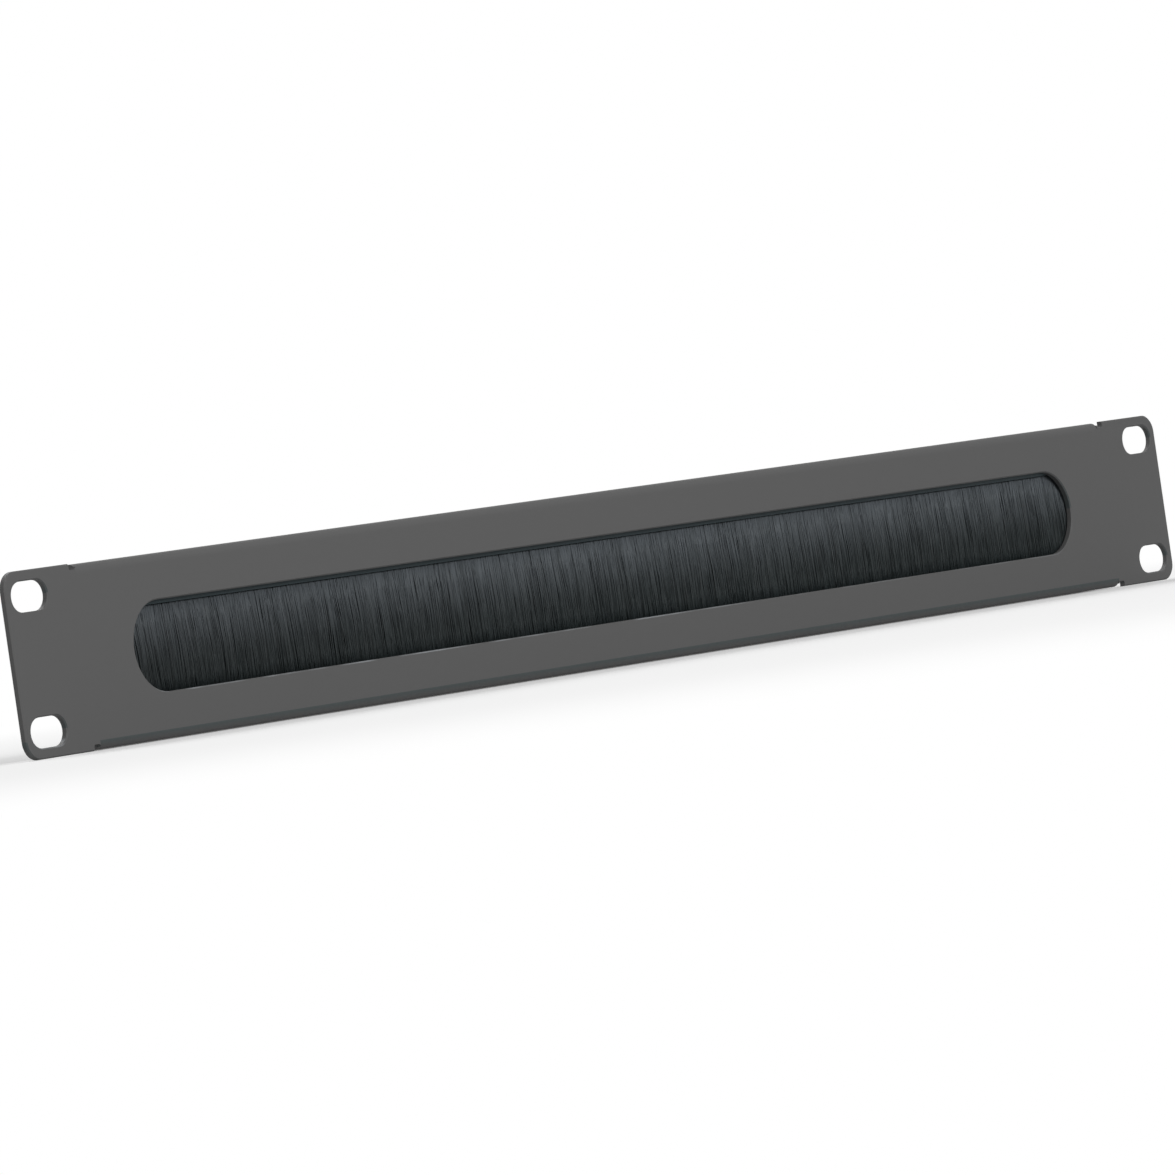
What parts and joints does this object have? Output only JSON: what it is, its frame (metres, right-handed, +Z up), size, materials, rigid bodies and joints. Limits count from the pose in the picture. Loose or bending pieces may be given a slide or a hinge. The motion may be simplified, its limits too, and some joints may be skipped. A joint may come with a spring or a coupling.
{
  "type": "rack cable entry panel",
  "caption": "Low, wide rack front panel with folded long edges, slotted fixing ears and a long round-ended opening closed by a hanging brush that lets cables through.",
  "frame": {"origin": "centre of the mounting-slot pattern, on the ears' rear face, the plane that meets the rack's rails", "axes": "+X along the panel's length (to the right as seen from the front), +Y to the rear, into the rack, +Z up"},
  "size_m": [0.4826, 0.013, 0.044],
  "materials": {
    "panel_coating": "fine-textured dark grey powder coating",
    "channel_black": "satin black coated steel",
    "bristle_nylon": "dark grey nylon bristles",
    "rail_aluminium": "extruded, clear anodised, satin",
    "wire_steel": "drawn bright wire",
    "zinc_steel": "bright zinc plated"
  },
  "bodies": {
    "root": {"face_panel": "panel_coating", "brush_channel": "channel_black", "core_wire": "wire_steel", "bristle_curtain": "bristle_nylon", "clamp_rail": "rail_aluminium", "weld_stud_1": "zinc_steel", "weld_stud_2": "zinc_steel", "weld_stud_3": "zinc_steel", "weld_stud_4": "zinc_steel", "weld_stud_5": "zinc_steel", "washer_1": "zinc_steel", "washer_2": "zinc_steel", "washer_3": "zinc_steel", "washer_4": "zinc_steel", "washer_5": "zinc_steel", "nut_1": "zinc_steel", "nut_2": "zinc_steel", "nut_3": "zinc_steel", "nut_4": "zinc_steel", "nut_5": "zinc_steel"}
  },
  "joints": []
}
